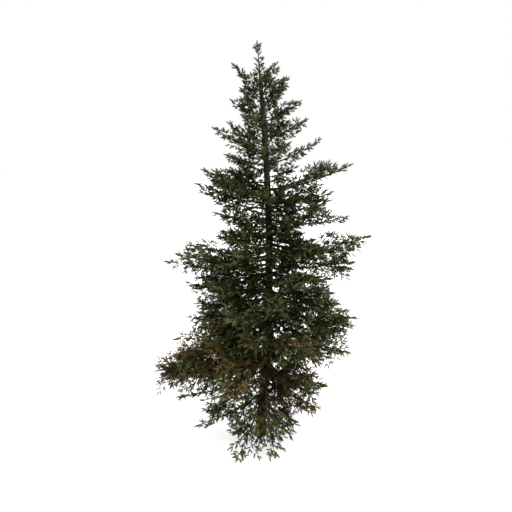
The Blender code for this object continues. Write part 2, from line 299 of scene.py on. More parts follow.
# How many side branches a bough has, as a share of the usual, by height
FULLNESS = ((0.94, 0.50), (1.45, 0.80), (2.05, 1.0), (5.2, 1.0), (6.0, 0.85))
SPRAY_SPACING = 0.040  # from one side branch to the next, along a bough
SPACED_FULLY_FROM = 1.5  # side branches stand closer on boughs with less reach
SPACED_CLOSEST = 0.42  # of the full spacing
SPRAY_CROWDING = 0.85  # under 1, so the side branches stand closer towards the tip
FEWEST_SPRAYS = 5
SPRAY_RING_SPACING = 0.2
SPRAY_FEWEST_RINGS = 2
SPRAY_RADIUS_PER_LENGTH = 0.0065
SPRAY_ROOT_RADIUS = 0.0016  # added to that
BRANCHLET_SPACING = 0.140  # on one side; they stand left and right in turn
BRANCHLET_FROM = (0.45, 0.10)  # of a side branch's length: on the first branch, on the last
BRANCHLET_LENGTH_SHARE = 0.40  # of the branch's length that is still to come
BRANCHLET_LEAST = 0.7  # shoot lengths, added to that
BRANCHLET_ANGLE = 45.0
BRANCHLET_TILT = 28.0  # out of the side branch's own plane
TIP_TILT = 60.0
TIP_CLOSENESS = 0.6  # the spacing at a bough's tip, of that elsewhere
SPRAY_LENGTH_SHARE = 0.9  # of the solids' sprays, since shoots stand out at the end
# Length of the outermost side branches, as a share of the innermost, by height
SPRAY_TIP_SHARE = ((2.3, 0.62), (3.2, 0.40), (5.7, 0.34), (6.5, 0.60))
SHOOT_SPACING = 0.070  # on one side
SHOOT_FROM = 0.040  # of a branchlet, from its root
SHOOT_LENGTH = 0.108
SHOOT_SHARE = ((5.0, 1.0), (6.8, 0.72))  # of that length, by height
SHOOT_ANGLE = 42.0
SHOOT_TILT = 35.0
BOUGH_SHOOT_SPACING = 0.035  # of the shoots straight on a bough
BOUGH_SHOOTS_FROM = 0.40  # of its reach
BOUGH_SHOOT_ANGLE = 52.0
BOUGH_RING_SPACING = 0.04
BOUGH_FEWEST_RINGS = 6
TWIG_TIP_RADIUS = 0.0012
TWIG_RADIUS_PER_LENGTH = 0.007
SHORTEST_STEM = 0.012  # of a branchlet; a shorter one is a single shoot
LAST_SHOOT_PAST = 0.01  # the stem's end
TRUNK_CLEARANCE = 0.01  # of a shoot's ends

# How far growth strays from its rule: factors, and degrees to either side
STEP_STRAY = (0.8, 1.2)
START_STRAY = (0.7, 1.3)
SHOOT_STEP_STRAY = (0.8, 1.25)
SHOOT_STRAY = (0.72, 1.1)
END_SHOOT_STRAY = (0.85, 1.2)
BOUGH_SHOOT_STRAY = (0.8, 1.1)
SPRAY_STRAY = (0.82, 1.06)
SPRAY_PLACE_STRAY = (0.0, 0.6)  # of the spacing
SPRAY_END_STRAY = (1.0, 1.25)
TUFT_STRAY = (0.75, 1.0)
SHOOT_TURN = 8
BRANCHLET_TURN = 7
SPRAY_TURN = 6
SPRAY_ROW_TURN = 14

# How needles stand on a shoot
NEEDLED_SHARE = 0.86  # of its length
FIRST_NEEDLE = 0.002  # from its root
LEAN_AT_ROOT = math.radians(48)
LEAN_AT_TIP = math.radians(27)
LEAN_STRAY = 0.3
LAST_NEEDLE_SHORTER = 0.15
SHOOT_FLATNESS = 0.9  # thickness over width
SHOOT_STEM_RADIUS = 0.007

# Dead twigs stand out from the trunk between the boughs, each with a few kinks
DEAD_TWIGS = 46
DEAD_TWIGS_SPAN = (0.35, 5.6)
DEAD_TWIG_LENGTH = (0.08, 0.34)
DEAD_TWIG_STEP = 0.035
DEAD_TWIG_FEWEST_STEPS = 3
DEAD_TWIG_KINK = 0.42
DEAD_TWIG_RADIUS = 0.0052
DEAD_TWIG_RISE = (-0.6, 0.3)
DEAD_TWIG_TAPER = 0.8
DEAD_TWIG_ROOT = 0.8  # of the trunk's radius, so that it starts inside

# Crown tiers, so that each piece stays small: the height on the trunk where each begins
TIERS = (("low", 0.0), ("middle", 2.3), ("high", 4.3))

BARK_STRETCH = (1.0, 1.0, 0.55)  # under 1 upwards, so the scales are taller than wide

# Tints, from dark to light: shoots are lighter towards the ends of their twigs, partly as fresh growth and
# partly as painted light on the outer shoots and painted shade on the inner ones
GREEN_TINTS = ("deep_green", "mid_green", "grey_green")
FRESH_TINTS = ("deep_green", "mid_green", "fresh_green")
FADED_TINTS = ("umber", "olive", "gold")
# The share of sprays that fade, by height
FADED_SHARE = ((0.3, 0.15), (0.6, 0.45), (1.0, 0.78), (1.8, 0.80), (2.3, 0.34), (2.8, 0.06), (3.4, 0.02))
# How much less the tips of boughs fade, by height; where they do, what is green is a fresh green
FRESH_TIPS = ((1.45, 0.85), (1.70, 0.0))
# Boughs that fade more towards their tips instead: height, bearing
FADED_TO_THE_TIP = ((0.94, 25), (0.95, 300), (1.02, 308), (1.36, 332), (1.38, 296))
TINT_DEPTH = (0.1, 1.5)  # of a side branch, from 0 for the dark tint to 2 for the light one
# Added to it, by height
TINT_PALER = ((1.0, -0.2), (1.6, 0.1), (3.2, 0.0), (4.4, 0.25), (6.0, 0.4), (8.0, 1.1))
TINT_SPREAD = 2.4  # how much lighter the outermost shoots are than the innermost, partly painted light and shade
TINT_NOISE = 1.2  # either way, from shoot to shoot
PAINTED_SHADE_SIDE = math.radians(270)  # the bearing where the tints are darker, as painted shade on the front
# How much darker the painted shade makes the tints of boughs on that side
PAINTED_SHADE_BY = 0.5
STRAY_TINT_SHARE = 0.4  # of the branchlets, with a tint of their own


# --- Settings that a user would change -----------------------------------------------------------


def colour_setting(name, description, default):
    return FloatVectorProperty(
        name=name, description=description, default=default, size=3, min=0, max=1, subtype="COLOR"
    )


def length_setting(name, description, default):
    return FloatProperty(
        name=name, description=description, default=default, min=0, subtype="DISTANCE", unit="LENGTH"
    )


def strength_setting(name, description, default):
    return FloatProperty(name=name, description=description, default=default, min=0)


class SpruceBark(bpy.types.PropertyGroup):
    relief: length_setting("Relief", "How far the trunk's scales stand out", 0.0045)
    scale_size: length_setting("Scale size", "Width of one scale of bark", 0.030)
    dark: colour_setting("Dark bark", "In the cracks between scales", (0.020, 0.015, 0.009))
    mid: colour_setting("Bark", "Over most of the trunk", (0.055, 0.047, 0.027))
    pale: colour_setting("Pale bark", "On the weathered faces of the scales", (0.110, 0.098, 0.062))
    dead: colour_setting("Dead twigs", "Reddish wood of the dead twigs", (0.085, 0.036, 0.022))
    twig: colour_setting("Twigs", "Bark of the thin twigs", (0.034, 0.022, 0.013))


class SpruceNeedles(bpy.types.PropertyGroup):
    length: length_setting("Length", "Length of a needle", 0.037)
    width: length_setting("Width", "Width of a needle at its root", 0.0140)
    count: IntProperty(name="Count", description="Needles on one shoot", default=25, min=4, max=60)
    # The dark tints go on inner shoots, partly as painted shade, and the light ones on the ends of twigs,
    # partly as painted light
    deep_green: colour_setting("Deep green", "Inner green shoots", (0.014, 0.018, 0.004))
    mid_green: colour_setting("Mid green", "Green shoots", (0.042, 0.057, 0.011))
    # Grey green is partly waxy bloom and partly painted light on the ends of twigs
    grey_green: colour_setting("Grey green", "Waxy shoots at the ends of twigs", (0.106, 0.131, 0.053))
    fresh_green: colour_setting("Fresh green", "Green shoots of the lowest boughs", (0.115, 0.135, 0.022))
    umber: colour_setting("Umber", "Inner faded shoots", (0.034, 0.024, 0.006))
    olive: colour_setting("Olive", "Faded shoots", (0.077, 0.060, 0.014))
    gold: colour_setting("Gold", "Faded shoots at the ends of twigs", (0.168, 0.114, 0.034))


class SpruceStage(bpy.types.PropertyGroup):
    floor: colour_setting("Floor", "The plain floor", (0.60, 0.60, 0.60))
    floor_glow: strength_setting("Floor glow", "Light from behind the floor", 0.6)
    sky_strength: strength_setting("Sky", "Strength of the soft light all round", 1.4)
    key_strength: strength_setting("Key light", "Strength of the soft light above", 2.8)
    fill_strength: strength_setting("Front light", "Strength of the soft light in front", 0.3)
    lens: FloatProperty(
        name="Lens", description="Focal length of the camera", default=50, min=1, subtype="DISTANCE_CAMERA"
    )


# --- Nodes ---------------------------------------------------------------------------------------


class Value:
    """A number's socket in a node tree. Sums on it add Math nodes."""

    def __init__(self, nodes, socket):
        self.nodes = nodes
        self.socket = socket

    def _math(self, operation, first, second):
        return self.nodes.make("ShaderNodeMath", {0: first, 1: second}, operation=operation)

    def __add__(self, other):
        return self._math("ADD", self, other)

    __radd__ = __add__

    def __sub__(self, other):
        return self._math("SUBTRACT", self, other)

    def __rsub__(self, other):
        return self._math("SUBTRACT", other, self)

    def __mul__(self, other):
        return self._math("MULTIPLY", self, other)

    __rmul__ = __mul__

    def __truediv__(self, other):
        return self._math("DIVIDE", self, other)

    def __rtruediv__(self, other):
        return self._math("DIVIDE", other, self)

    def __pow__(self, other):
        return self._math("POWER", self, other)


class Nodes:
    """Adds nodes to a shader tree or a geometry tree."""

    def __init__(self, tree):
        self.tree = tree
        tree.nodes.clear()

    def make(self, kind, sockets=None, output=0, stops=None, **settings):
        """A node's settings first, then the value or link of each socket. Returns one output, if any."""
        node = self.tree.nodes.new(kind)
        for name, value in settings.items():
            setattr(node, name, value)
        if stops:
            while len(node.color_ramp.elements) < len(stops):
                node.color_ramp.elements.new(1.0)
            for element, (position, colour) in zip(node.color_ramp.elements, stops):
                element.position = position
                element.color = (*colour, 1.0)
        for name, value in (sockets or {}).items():
            if isinstance(value, Value):
                self.tree.links.new(value.socket, node.inputs[name])
            else:
                node.inputs[name].default_value = value
        return Value(self, node.outputs[output]) if node.outputs else None

    def vector(self, operation, first, second=(0, 0, 0)):
        return self.make("ShaderNodeVectorMath", {0: first, 1: second}, operation=operation)

    def scaled(self, first, by):
        return self.make("ShaderNodeVectorMath", {0: first, "Scale": by}, operation="SCALE")

    def blend(self, share, first, second):
        """From one colour to another."""
        return self.make("ShaderNodeMix", {0: share, 6: first, 7: second}, output=2, data_type="RGBA")

    def named(self, name, data_type="FLOAT"):
        return self.make("GeometryNodeInputNamedAttribute", {"Name": name}, data_type=data_type)

    def give(self, name, kind, value):
        """Links a value to the tree's own output of that name, and adds the output."""
        self.tree.interface.new_socket(name, in_out="OUTPUT", socket_type=kind)
        node = self.tree.nodes.new("NodeGroupOutput")
        self.tree.links.new(value.socket, node.inputs[name])


class Recipe(Nodes):
    """A geometry tree with named inputs, run on a mesh to give a plain mesh."""

    def __init__(self, name):
        super().__init__(bpy.data.node_groups.new(name, "GeometryNodeTree"))
        self.tree.interface.new_socket("Geometry", in_out="INPUT", socket_type="NodeSocketGeometry")
        self.start = self.tree.nodes.new("NodeGroupInput")
        self.sockets = {}
        self.geometry = Value(self, self.start.outputs["Geometry"])

    def take(self, name, kind, default=None):
        """Adds a named input and returns it."""
        socket = self.tree.interface.new_socket(name, in_out="INPUT", socket_type="NodeSocket" + kind)
        if default is not None:
            socket.default_value = default
        self.sockets[name] = socket.identifier
        return Value(self, self.start.outputs[name])

    def end(self, geometry):
        """Closes the tree with Realize Instances and Set Material."""
        finish = self.take("Material", "Material")
        real = self.make("GeometryNodeRealizeInstances", {"Geometry": geometry})
        done = self.make("GeometryNodeSetMaterial", {"Geometry": real, "Material": finish})
        self.give("Geometry", "NodeSocketGeometry", done)

    def run(self, name, mesh, **values):
        """The plain piece that the tree makes of a mesh, with inputs set by name."""
        raw = bpy.data.objects.new(name + "_raw", mesh)
        bpy.context.scene.collection.objects.link(raw)
        modifier = raw.modifiers.new("growth", "NODES")
        modifier.node_group = self.tree
        for label, value in values.items():
            modifier[self.sockets[label.replace("_", " ").capitalize()]] = value
        graph = bpy.context.evaluated_depsgraph_get()
        made = bpy.data.meshes.new_from_object(raw.evaluated_get(graph))
        bpy.data.objects.remove(raw)
        bpy.data.meshes.remove(mesh)
        made.name = name
        made.materials.clear()
        made.materials.append(values["material"])
        return add_object(name, made)


def add_object(name, mesh):
    made = bpy.data.objects.new(name, mesh)
    bpy.context.scene.collection.objects.link(made)
    return made


def new_material(name):
    made = bpy.data.materials.new(name)
    made.use_nodes = True
    return made, Nodes(made.node_tree)


def close_material(nodes, **sockets):
    """Ends a material with its one Principled surface."""
    named = {name.replace("_", " "): value for name, value in sockets.items()}
    surface = nodes.make("ShaderNodeBsdfPrincipled", named)
    nodes.make("ShaderNodeOutputMaterial", {"Surface": surface})


# --- The course of the trunk and the boughs ------------------------------------------------------


def out(bearing):
    """The level unit vector on a bearing, in radians."""
    return Vector((math.cos(bearing), math.sin(bearing), 0))


def trunk_centre(height):
    share = height / TREE_HEIGHT
    return Vector(
        (
            TRUNK_BOW * math.sin(math.pi * share) + TRUNK_LEAN * share,
            TRUNK_BACK_BOW * math.sin(2 * math.pi * share),
            height,
        )
    )


def trunk_radius(height, bearing=None):
    """The radius at a height; with a bearing, the root lobes are added."""
    plain = TRUNK_BASE_RADIUS * (1 - height / TREE_HEIGHT) ** TRUNK_TAPER_POWER
    flare = math.exp(-height / FLARE_HEIGHT)
    lobe = ROOT_LOBE_SHARE * math.cos(ROOT_LOBES * bearing) if bearing is not None else 0.0
    return plain * (1 + (FLARE_SHARE + lobe) * flare)


class Bough:
    """One bough's course: it leaves the trunk at a height, on a bearing, and reaches out."""

    def __init__(self, height, bearing, reach, lift=0.0):
        self.height = height
        self.bearing = math.radians(bearing)
        self.reach = reach
        share = height / TREE_HEIGHT
        rise = RISE_AT_GROUND + RISE_PER_HEIGHT * share + RISE_NEAR_TOP * share**4
        self.slope = math.tan(math.radians(rise + lift))
        self.radius = BOUGH_RADIUS_LEAST + BOUGH_RADIUS_PER_REACH * reach
        self.has_limb = reach >= MAIN_BOUGH_REACH
        self.mass_start = LIMB_SHARE if self.has_limb else 0.0
        self.spray_length = SPRAY_LENGTH_PER_REACH * reach
        self.spray_length = min(max(self.spray_length, SPRAY_LENGTH_LEAST), SPRAY_LENGTH_MOST)
        self.last_spray = 1 - self.spray_length * LAST_SPRAY_SHARE / reach

    def point(self, share):
        """The middle of the bough, at a share of its reach."""
        level = self.reach * share
        sag = 4 * BOUGH_SAG_SHARE * level * (1 - share)
        return trunk_centre(self.height) + level * out(self.bearing) + UP * (self.slope * level - sag)

    def along(self, share):
        return (self.point(share + COURSE_STEP) - self.point(share - COURSE_STEP)).normalized()

    def aside(self):
        """Level, and square to the bough: to its left as seen from the trunk."""
        return out(self.bearing + math.pi / 2)

    def thickness(self, share):
        return taper(self.radius, BOUGH_TIP_RADIUS, share)


def taper(first, last, share):
    """What runs evenly from one value to another."""
    return first + (last - first) * share


def main_boughs():
    return [Bough(height, *course) for height, *courses in WHORLS for course in courses]


def lesser_boughs(draw):
    """The placed ones, and short boughs between the whorls, spread by the golden angle."""
    boughs = [Bough(*course) for course in PLACED_LESSER_BOUGHS]
    turn = draw.uniform(0, math.tau)
    height, top = LESSER_BOUGHS_PER_METRE[0][0], LESSER_BOUGHS_PER_METRE[-1][0]
    while height < top:
        turn += GOLDEN_ANGLE
        bearing = math.degrees(turn - FULLER_BY * math.sin(turn - FULLER_SIDE)) % 360
        reach = nearby_reach(height, bearing) * LESSER_REACH_SHARE * draw.uniform(*STEP_STRAY)
        if not in_lesser_gap(height, bearing):
            boughs.append(Bough(height, bearing, reach))
        height += draw.uniform(*START_STRAY) / by_height(LESSER_BOUGHS_PER_METRE, height)
    return boughs


def turned_by(bearing, other):
    """The angle between two bearings, in degrees."""
    return abs((bearing - other + 180) % 360 - 180)


def in_lesser_gap(height, bearing):
    return any(
        lowest < height < highest and turned_by(bearing, middle) < width
        for lowest, highest, middle, width in LESSER_GAPS
    )


def by_height(steps, height):
    """A value read between the steps of a list of (height, value)."""
    return float(np.interp(height, [at for at, _ in steps], [value for _, value in steps]))


def nearby_reach(height, bearing):
    """The reach of the main boughs round a place, each weighed by how near it stands."""
    total = weights = 0.0
    for whorl, *courses in WHORLS:
        for turn, reach, _ in courses:
            apart = turned_by(turn, bearing) / NEARBY_BEARING
            weight = math.exp(-(apart**2) - ((whorl - height) / NEARBY_HEIGHT) ** 2)
            total += weight * reach
            weights += weight
    return total / weights


# --- Growth of twigs and shoots ------------------------------------------------------------------


class Crown:
    """Everything that has grown: lines of boughs and twigs, and the shoots that bear needles."""

    def __init__(self):
        self.boughs = []  # each a list of (point, radius)
        self.dead_twigs = []
        self.twigs = {tier: [] for tier, _ in TIERS}
        self.shoots = {}  # (tier, tint): list of (root, along, facing, length)

    def add_shoot(self, spray, tint, root, along, facing, length):
        tip = root + along * length
        if min(root.z, tip.z) < GROUND_CLEARANCE or inside_trunk(root) or inside_trunk(tip):
            return
        self.shoots.setdefault((spray.tier, tint), []).append((root, along, facing, length))

    def add_twig(self, spray, line):
        if min(point.z for point, _ in line) > GROUND_CLEARANCE:
            self.twigs[spray.tier].append(line)


class Spray:
    """What the twigs of one side branch share: their tier of the crown, tints with their painted shade,
    spread and shoots.
    """

    def __init__(self, tier, height, outward, fresh, draw, tilt=BRANCHLET_TILT, closeness=1.0, painted_shade=0.0):
        self.tier = tier
        self.painted_shade = painted_shade
        self.outward = outward
        self.tilt = tilt
        self.closeness = closeness
        self.shoot = SHOOT_LENGTH * by_height(SHOOT_SHARE, height)
        self.fading = 1 - fresh * outward
        self.fresh = fresh > 0
        self.deal_tints(height, draw)

    def deal_tints(self, height, draw):
        faded = draw.random() < by_height(FADED_SHARE, height) * self.fading
        self.tints = FADED_TINTS if faded else FRESH_TINTS if self.fresh else GREEN_TINTS
        # Boughs that point to the front get darker tints: painted shade
        self.depth = draw.uniform(*TINT_DEPTH) + by_height(TINT_PALER, height) - self.painted_shade

    def tint(self, outward, draw):
        """The tint of a shoot, by how far out it stands on its side branch, from 0 to 1. Outer shoots are
        lighter, partly as painted light.
        """
        outward = (outward + self.outward) / 2
        depth = self.depth + TINT_SPREAD * (outward - 0.5) + draw.uniform(-TINT_NOISE, TINT_NOISE)
        return self.tints[min(max(round(depth), 0), len(self.tints) - 1)]


def inside_trunk(point):
    if not 0 < point.z < TRUNK_TOP:
        return False
    level = point - trunk_centre(point.z)
    return math.hypot(level.x, level.y) < trunk_radius(point.z) + TRUNK_CLEARANCE


def tier_of(height):
    return [name for name, start in TIERS if height >= start][-1]


def tilted(along, across, angle, side, tilt):
    """A direction that leaves along by an angle to one side, and the one square to it on that side."""
    normal = along.cross(across)
    away = side * (math.cos(tilt) * across + side * math.sin(tilt) * normal)
    forward = (math.cos(angle) * along + math.sin(angle) * away).normalized()
    sideways = (math.sin(angle) * along - math.cos(angle) * away).normalized()
    return forward, sideways


def strayed(draw, degrees, stray):
    """An angle in radians, drawn from within a few degrees to either side."""
    return math.radians(degrees + draw.uniform(-stray, stray))


def grow_shoots(crown, spray, root, along, across, length, outward, draw):
    """A branchlet with its shoots left and right and one at its end."""
    if draw.random() < STRAY_TINT_SHARE:
        spray = copy.copy(spray)
        spray.deal_tints(root.z, draw)
    normal = along.cross(across).normalized()
    end_length = min(length, spray.shoot * draw.uniform(*END_SHOOT_STRAY))
    stem = length - end_length
    crown.add_shoot(spray, spray.tint(1.0, draw), root + along * stem, along, normal, end_length)
    if stem <= SHORTEST_STEM:
        return
    radius = TWIG_TIP_RADIUS + TWIG_RADIUS_PER_LENGTH * length
    crown.add_twig(spray, [(root, radius), (root + along * stem, TWIG_TIP_RADIUS)])
    at = SHOOT_FROM * draw.uniform(*START_STRAY)
    side = draw.choice((-1, 1))
    while at < stem + LAST_SHOOT_PAST:
        angle = strayed(draw, SHOOT_ANGLE, SHOOT_TURN)
        tilt = strayed(draw, 0, SHOOT_TILT)
        forward, sideways = tilted(along, across, angle, side, tilt)
        shoot = spray.shoot * draw.uniform(*SHOOT_STRAY)
        tint = spray.tint(outward + (1 - outward) * min(at / stem, 1), draw)
        here = root + along * min(at, stem)
        crown.add_shoot(spray, tint, here, forward, forward.cross(sideways), shoot)
        at += SHOOT_SPACING * spray.shoot / SHOOT_LENGTH * draw.uniform(*SHOOT_STEP_STRAY) / 2
        side = -side


def grow_spray(crown, spray, root, along, across, length, droop, draw):
    """One side branch, and its branchlets left and right, shorter towards the tip."""
    radius = SPRAY_ROOT_RADIUS + SPRAY_RADIUS_PER_LENGTH * length

    def place(share):
        return root + length * (share * along + UP * (-droop * share**2))

    end_length = spray.shoot * draw.uniform(*SPRAY_END_STRAY)
    end = max(0.0, 1 - end_length / length)
    steps = max(SPRAY_FEWEST_RINGS, round(length / SPRAY_RING_SPACING))
    shares = [step / steps for step in range(steps + 1)]
    crown.add_twig(spray, [(place(end * share), taper(radius, TWIG_TIP_RADIUS, share)) for share in shares])
    last = (place(1) - place(end)).normalized()
    crown.add_shoot(spray, spray.tint(1.0, draw), place(end), last, last.cross(across), end_length)
    at = length * taper(*BRANCHLET_FROM, spray.outward) * draw.uniform(*START_STRAY)
    side = draw.choice((-1, 1))
    while at < length * end:
        share = at / length
        angle = strayed(draw, BRANCHLET_ANGLE, BRANCHLET_TURN)
        tilt = strayed(draw, 0, spray.tilt)
        here = (place(share + COURSE_STEP) - place(share - COURSE_STEP)).normalized()
        forward, sideways = tilted(here, across, angle, side, tilt)
        reach = (length - at) * BRANCHLET_LENGTH_SHARE * draw.uniform(*STEP_STRAY)
        reach += spray.shoot * BRANCHLET_LEAST
        grow_shoots(crown, spray, place(share), forward, sideways, reach, share, draw)
        spacing = BRANCHLET_SPACING * spray.shoot / SHOOT_LENGTH * spray.closeness
        at += spacing * draw.uniform(*STEP_STRAY) / 2
        side = -side


def grow_bough(crown, bough, draw):
    """A bough's side branches, left and right in each row about it, and the spray at its tip."""
    tier = tier_of(bough.height)
    place = (bough.height, round(math.degrees(bough.bearing)))
    further, bare, fuller, longer = BOUGH_HABITS.get(place, (0, 0, 1, 1))
    hang = by_height(SPRAY_HANG, bough.height) + further
    tip_share = by_height(SPRAY_TIP_SHARE, bough.height)
    fresh = -1.0 if place in FADED_TO_THE_TIP else by_height(FRESH_TIPS, bough.height)
    # Painted shade: the tints are darker on boughs that point to the front
    painted_shade = PAINTED_SHADE_BY * max(0.0, math.cos(bough.bearing - PAINTED_SHADE_SIDE))
    first = max(bare, bough.mass_start + BARE_STEM_SHARE / (2 if bough.has_limb else 1))
    end = bough.last_spray
    steps = max(BOUGH_FEWEST_RINGS, round(bough.reach / BOUGH_RING_SPACING))
    shares = [step / steps for step in range(steps)]
    crown.boughs.append([(bough.point(share), bough.thickness(share)) for share in shares])
    spacing = SPRAY_SPACING * min(max(bough.reach / SPACED_FULLY_FROM, SPACED_CLOSEST), 1.0)
    spacing /= by_height(FULLNESS, bough.height) * fuller
    count = max(FEWEST_SPRAYS, round((end - first) * bough.reach / spacing))
    for number in range(count):
        outward = ((number + draw.uniform(*SPRAY_PLACE_STRAY)) / count) ** SPRAY_CROWDING
        share = first + (end - first) * outward
        along = bough.along(share)
        side = bough.aside() * (1 if number % 2 else -1)
        row = strayed(draw, SPRAY_ROWS[number // 2 % len(SPRAY_ROWS)] - hang, SPRAY_ROW_TURN)
        away = math.cos(row) * side + math.sin(row) * along.cross(bough.aside())
        angle = strayed(draw, SPRAY_ANGLE, SPRAY_TURN)
        forward = math.cos(angle) * along + math.sin(angle) * away
        across = math.sin(angle) * along - math.cos(angle) * away
        length = SPRAY_LENGTH_SHARE * longer * bough.spray_length
        length *= taper(1, tip_share, outward) * draw.uniform(*SPRAY_STRAY)
        root = bough.point(share)
        spray = Spray(tier, root.z, outward, fresh, draw, painted_shade=painted_shade)
        grow_spray(crown, spray, root, forward, across, length, SPRAY_DROOP, draw)
    tip_length = (bough.point(1) - bough.point(end)).length
    spray = Spray(tier, bough.point(1).z, 1.0, fresh, draw, TIP_TILT, TIP_CLOSENESS, painted_shade)
    grow_spray(crown, spray, bough.point(end), bough.along(end), bough.aside(), tip_length, 0.0, draw)
    grow_bough_shoots(crown, bough, spray, draw)


def grow_bough_shoots(crown, bough, spray, draw):
    """Shoots straight on the outer part of a bough, all round it."""
    turn = draw.uniform(0, math.tau)
    at = BOUGH_SHOOTS_FROM * bough.reach
    while at < bough.reach * bough.last_spray:
        share = at / bough.reach
        along = bough.along(share)
        turn += GOLDEN_ANGLE
        away = math.cos(turn) * bough.aside() + math.sin(turn) * along.cross(bough.aside())
        angle = strayed(draw, BOUGH_SHOOT_ANGLE, SHOOT_TURN)
        forward = math.cos(angle) * along + math.sin(angle) * away
        tint = spray.tint(0.0, draw)
        shoot = spray.shoot * draw.uniform(*BOUGH_SHOOT_STRAY)
        crown.add_shoot(spray, tint, bough.point(share), forward, away, shoot)
        at += BOUGH_SHOOT_SPACING * draw.uniform(*STEP_STRAY)


def grow_leader(crown, draw):
    """The leader's stem, its tufts of short branches, and the spray at its top."""
    line = []
    for step in range(LEADER_RINGS + 1):
        share = step / LEADER_RINGS
        height = TRUNK_TOP - LEADER_OVERLAP + (LEADER_STEM_TOP - TRUNK_TOP) * share
        line.append((trunk_centre(height), taper(LEADER_RADIUS, BOUGH_TIP_RADIUS, share)))
    crown.boughs.append(line)
    for low, high, count, longest, lifts in LEADER_TUFTS:
        for number in range(count):
            height = low + (high - low) * number / count
            length = longest * draw.uniform(*TUFT_STRAY)
            bearing = number * GOLDEN_ANGLE
            lift = math.radians(draw.uniform(*lifts))
            along = math.cos(lift) * out(bearing) + math.sin(lift) * UP
            aside = out(bearing + math.pi / 2)
            spray = Spray(LEADER_TIER, height, outward=0.5, fresh=0.0, draw=draw)
            grow_spray(crown, spray, trunk_centre(height), along, aside, length, 0.0, draw)
    root = trunk_centre(TREE_HEIGHT - TOP_SPRAY_LENGTH)
    up = (trunk_centre(TREE_HEIGHT) - root).normalized()
    spray = Spray(LEADER_TIER, TREE_HEIGHT, outward=1.0, fresh=0.0, draw=draw, tilt=TIP_TILT)
    grow_spray(crown, spray, root, up, out(0), TOP_SPRAY_LENGTH + TOP_SHOOT_PROUD, 0.0, draw)


def grow_dead_twigs(crown, draw):
    """Short crooked twigs that have lost their needles."""
    for number in range(DEAD_TWIGS):
        height = draw.uniform(*DEAD_TWIGS_SPAN)
        bearing = number * GOLDEN_ANGLE
        point = trunk_centre(height) + out(bearing) * trunk_radius(height) * DEAD_TWIG_ROOT
        heading = (out(bearing) + UP * draw.uniform(*DEAD_TWIG_RISE)).normalized()
        steps = max(DEAD_TWIG_FEWEST_STEPS, round(draw.uniform(*DEAD_TWIG_LENGTH) / DEAD_TWIG_STEP))
        line = []
        for step in range(steps + 1):
            line.append((point, DEAD_TWIG_RADIUS * (1 - DEAD_TWIG_TAPER * step / steps)))
            kink = Vector([draw.uniform(-1, 1) for _ in range(3)]) * DEAD_TWIG_KINK
            heading = (heading + kink).normalized()
            point = point + heading * DEAD_TWIG_STEP
        if min(point.z for point, _ in line) > GROUND_CLEARANCE:
            crown.dead_twigs.append(line)


@functools.cache
def grown_crown():
    """The whole crown, grown once."""
    crown = Crown()
    grow_leader(crown, random.Random(SEED))
    boughs = main_boughs() + lesser_boughs(random.Random(SEED))
    for number, bough in enumerate(boughs, start=1):
        grow_bough(crown, bough, random.Random(SEED + number))
    grow_dead_twigs(crown, random.Random(SEED))
    return crown


# --- Meshes that the trees of nodes start from ---------------------------------------------------


def set_attribute(mesh, name, kind, values):
    attribute = mesh.attributes.new(name, kind, "POINT")
    label = "vector" if kind == "FLOAT_VECTOR" else "value"
    attribute.data.foreach_set(label, np.asarray(values, np.float32).ravel())


def lines_mesh(name, lines):
    """Open lines of edges, with each point's radius as its thickness."""
    points = [point for line in lines for point, _ in line]
    edges = []
    start = 0
    for line in lines:
        edges += [(start + step, start + step + 1) for step in range(len(line) - 1)]
        start += len(line)
    mesh = bpy.data.meshes.new(name)
    mesh.from_pydata(points, edges, [])
    set_attribute(mesh, "thickness", "FLOAT", [radius for line in lines for _, radius in line])
    return mesh


def shoots_mesh(name, shoots):
    """One point at the root of each shoot, with its direction, its facing and its length."""
    mesh = bpy.data.meshes.new(name)
    mesh.from_pydata([root for root, *_ in shoots], [], [])
    set_attribute(mesh, "along", "FLOAT_VECTOR", [along for _, along, _, _ in shoots])
    set_attribute(mesh, "facing", "FLOAT_VECTOR", [facing for _, _, facing, _ in shoots])
    set_attribute(mesh, "shoot_length", "FLOAT", [length for *_, length in shoots])
    return mesh


# --- The trees of nodes --------------------------------------------------------------------------


@functools.cache
def wood_recipe():
    """Round wood along lines, with its bark's relief as a share of its thickness."""
    recipe = Recipe("Round wood")
    sides = recipe.take("Sides", "Int")
    relief = recipe.take("Relief", "Float", 0.0)
    grain = recipe.take("Grain", "Float", 40.0)
    lines = recipe.make("GeometryNodeMeshToCurve", {"Mesh": recipe.geometry})
    ring = recipe.make("GeometryNodeCurvePrimitiveCircle", {"Resolution": sides, "Radius": 1.0})
    thickness = recipe.named("thickness")
    wood = recipe.make(
        "GeometryNodeCurveToMesh",
        {"Curve": lines, "Profile Curve": ring, "Scale": thickness, "Fill Caps": True},
    )
    noise = recipe.make("ShaderNodeTexNoise", {"Scale": grain, "Detail": 2.0})
    normal = recipe.make("GeometryNodeInputNormal")
    push = recipe.scaled(normal, (noise - 0.5) * relief * thickness)
    moved = recipe.make("GeometryNodeSetPosition", {"Geometry": wood, "Offset": push})
    recipe.end(recipe.make("GeometryNodeSetShadeSmooth", {"Geometry": moved}))
    return recipe


